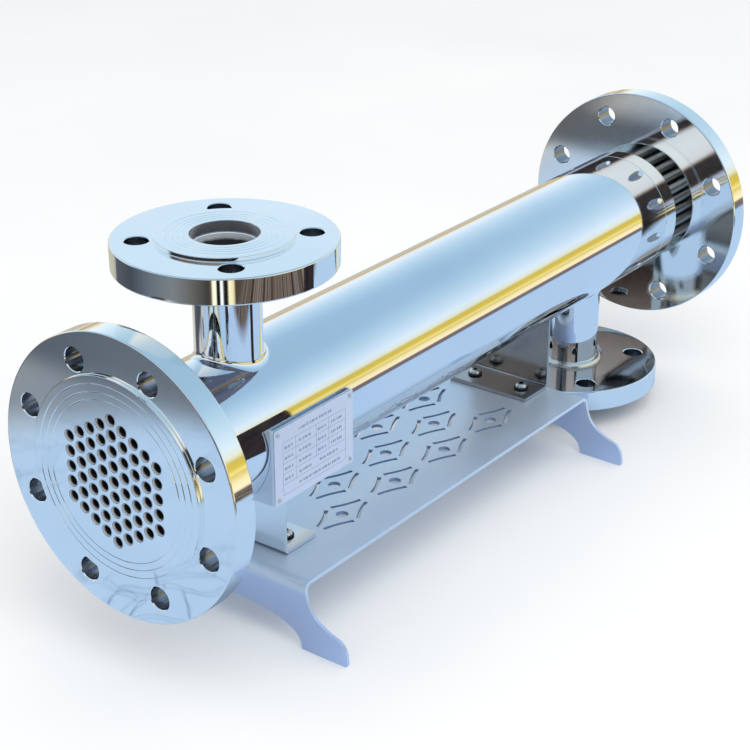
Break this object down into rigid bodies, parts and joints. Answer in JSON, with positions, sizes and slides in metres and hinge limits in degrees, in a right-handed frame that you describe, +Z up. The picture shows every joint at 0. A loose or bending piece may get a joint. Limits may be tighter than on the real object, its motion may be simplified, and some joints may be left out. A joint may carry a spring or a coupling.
{
  "type": "shell and tube heat exchanger",
  "caption": "Horizontal polished steel shell-and-tube heat exchanger with flanged ends drilled for tubes, an upper and a lower flanged branch, saddles and a folded sheet bench.",
  "frame": {"origin": "on the floor, under the middle of the whole object", "axes": "+X along the shell, from the end with the upper branch to the end with the lower branch; +Z up; the nameplate faces -Y"},
  "size_m": [0.746, 0.236, 0.313],
  "materials": {
    "polished_steel": "mirror polished stainless steel",
    "flange_steel": "polished stainless steel, turned faces",
    "tube_steel": "drawn stainless tube",
    "inner_steel": "plain stainless steel",
    "bench_steel": "satin stainless sheet",
    "saddle_steel": "polished stainless sheet",
    "fastener_steel": "stainless steel",
    "washer_rubber": "black rubber",
    "nameplate_metal": "satin printed plate, no text"
  },
  "bodies": {
    "root": {"baffle_1": "inner_steel", "baffle_2": "inner_steel", "baffle_3": "inner_steel", "bench": "bench_steel", "bottom_branch_flange": "flange_steel", "bottom_branch_pipe": "polished_steel", "far_inner_tube_sheet": "polished_steel", "far_outer_tube_sheet": "flange_steel", "front_saddle": "saddle_steel", "nameplate": "nameplate_metal", "nameplate_carrier": "bench_steel", "nameplate_rivet_1": "fastener_steel", "nameplate_rivet_2": "fastener_steel", "nameplate_rivet_3": "fastener_steel", "nameplate_rivet_4": "fastener_steel", "near_inner_tube_sheet": "polished_steel", "near_outer_tube_sheet": "flange_steel", "rear_saddle": "saddle_steel", "saddle_nut_1": "fastener_steel", "saddle_nut_2": "fastener_steel", "saddle_nut_3": "fastener_steel", "saddle_nut_4": "fastener_steel", "saddle_screw_1": "fastener_steel", "saddle_screw_2": "fastener_steel", "saddle_screw_3": "fastener_steel", "saddle_screw_4": "fastener_steel", "saddle_washer_1": "washer_rubber", "saddle_washer_2": "washer_rubber", "saddle_washer_3": "washer_rubber", "saddle_washer_4": "washer_rubber", "shell": "polished_steel", "tie_rod_1": "inner_steel", "tie_rod_2": "inner_steel", "top_branch_flange": "flange_steel", "top_branch_pipe": "polished_steel", "tube_01": "tube_steel", "tube_02": "tube_steel", "tube_03": "tube_steel", "tube_04": "tube_steel", "tube_05": "tube_steel", "tube_06": "tube_steel", "tube_07": "tube_steel", "tube_08": "tube_steel", "tube_09": "tube_steel", "tube_10": "tube_steel", "tube_11": "tube_steel", "tube_12": "tube_steel", "tube_13": "tube_steel", "tube_14": "tube_steel", "tube_15": "tube_steel", "tube_16": "tube_steel", "tube_17": "tube_steel", "tube_18": "tube_steel", "tube_19": "tube_steel", "tube_20": "tube_steel", "tube_21": "tube_steel", "tube_22": "tube_steel", "tube_23": "tube_steel", "tube_24": "tube_steel"}
  },
  "joints": []
}
